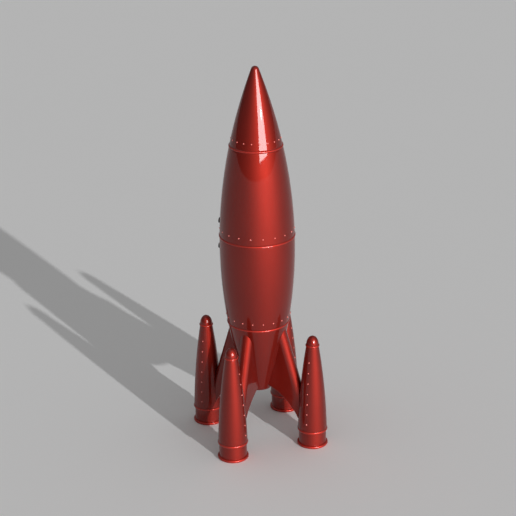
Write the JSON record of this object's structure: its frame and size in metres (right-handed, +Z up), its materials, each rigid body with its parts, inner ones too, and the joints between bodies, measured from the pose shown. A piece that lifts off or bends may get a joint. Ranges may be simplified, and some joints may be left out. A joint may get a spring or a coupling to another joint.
{
  "type": "model rocket",
  "caption": "Finned model rocket with a spindle hull, bullet pods as feet, a pull-off nose over a parachute bay and a motor that slides out of the tail.",
  "frame": {"origin": "on the floor under the rocket's axis, midway between the four pods", "axes": "+Z up the axis to the nose tip; the four fins and pods lie on +X, +Y, -X and -Y; the front pod is on -Y"},
  "size_m": [0.1752, 0.1752, 0.4513],
  "materials": {
    "red_gloss": "polished gloss",
    "red_balsa": "balsa under the same red gloss paint",
    "white_moulding": "moulded",
    "zinc_wire": "zinc plated",
    "plywood": "sanded plywood",
    "wadding_paper": "soft paper",
    "parachute_cloth": "thin woven nylon",
    "kraft_card": "wound kraft card",
    "motor_paper": "wound kraft paper",
    "nozzle_clay": "pressed clay",
    "motor_grain": "pressed powder",
    "black_acetal": "moulded",
    "screw_steel": "zinc plated"
  },
  "bodies": {
    "rocket": {"back_fin": "red_balsa", "back_pod_belt_ring": "red_gloss", "back_pod_cap": "red_gloss", "back_pod_cap_ring": "red_gloss", "back_pod_foot": "red_gloss", "back_pod_shell": "red_gloss", "back_pod_skirt": "red_gloss", "bay_floor": "plywood", "front_fin": "red_balsa", "front_pod_belt_ring": "red_gloss", "front_pod_cap": "red_gloss", "front_pod_cap_ring": "red_gloss", "front_pod_foot": "red_gloss", "front_pod_shell": "red_gloss", "front_pod_skirt": "red_gloss", "left_fin": "red_balsa", "left_pod_belt_ring": "red_gloss", "left_pod_cap": "red_gloss", "left_pod_cap_ring": "red_gloss", "left_pod_foot": "red_gloss", "left_pod_shell": "red_gloss", "left_pod_skirt": "red_gloss", "lower_body": "red_gloss", "lower_centring_ring": "plywood", "lower_guide_screw": "screw_steel", "lower_launch_guide": "black_acetal", "motor_tube": "kraft_card", "nose_ring": "red_gloss", "parachute_pack": "parachute_cloth", "right_fin": "red_balsa", "right_pod_belt_ring": "red_gloss", "right_pod_cap": "red_gloss", "right_pod_cap_ring": "red_gloss", "right_pod_foot": "red_gloss", "right_pod_shell": "red_gloss", "right_pod_skirt": "red_gloss", "tail_cone": "red_gloss", "tail_coupler": "white_moulding", "tail_ring": "red_gloss", "thrust_ring": "kraft_card", "upper_body": "red_gloss", "upper_centring_ring": "plywood", "upper_guide_screw": "screw_steel", "upper_launch_guide": "black_acetal", "wadding": "wadding_paper", "waist_coupler": "white_moulding", "waist_ring": "red_gloss"},
    "nose": {"nose_cone": "red_gloss", "nose_plug": "white_moulding", "recovery_eye": "zinc_wire"},
    "motor": {"motor_case": "motor_paper", "motor_nozzle": "nozzle_clay", "motor_grain": "motor_grain", "motor_cap": "nozzle_clay"}
  },
  "joints": [
    {"name": "nose_pull", "type": "slide", "parent": "rocket", "child": "nose", "axis": [0, 0, 1], "range_m": [0, 0.034]},
    {"name": "motor_pull", "type": "slide", "parent": "rocket", "child": "motor", "axis": [0, 0, -1], "range_m": [0, 0.052]}
  ]
}
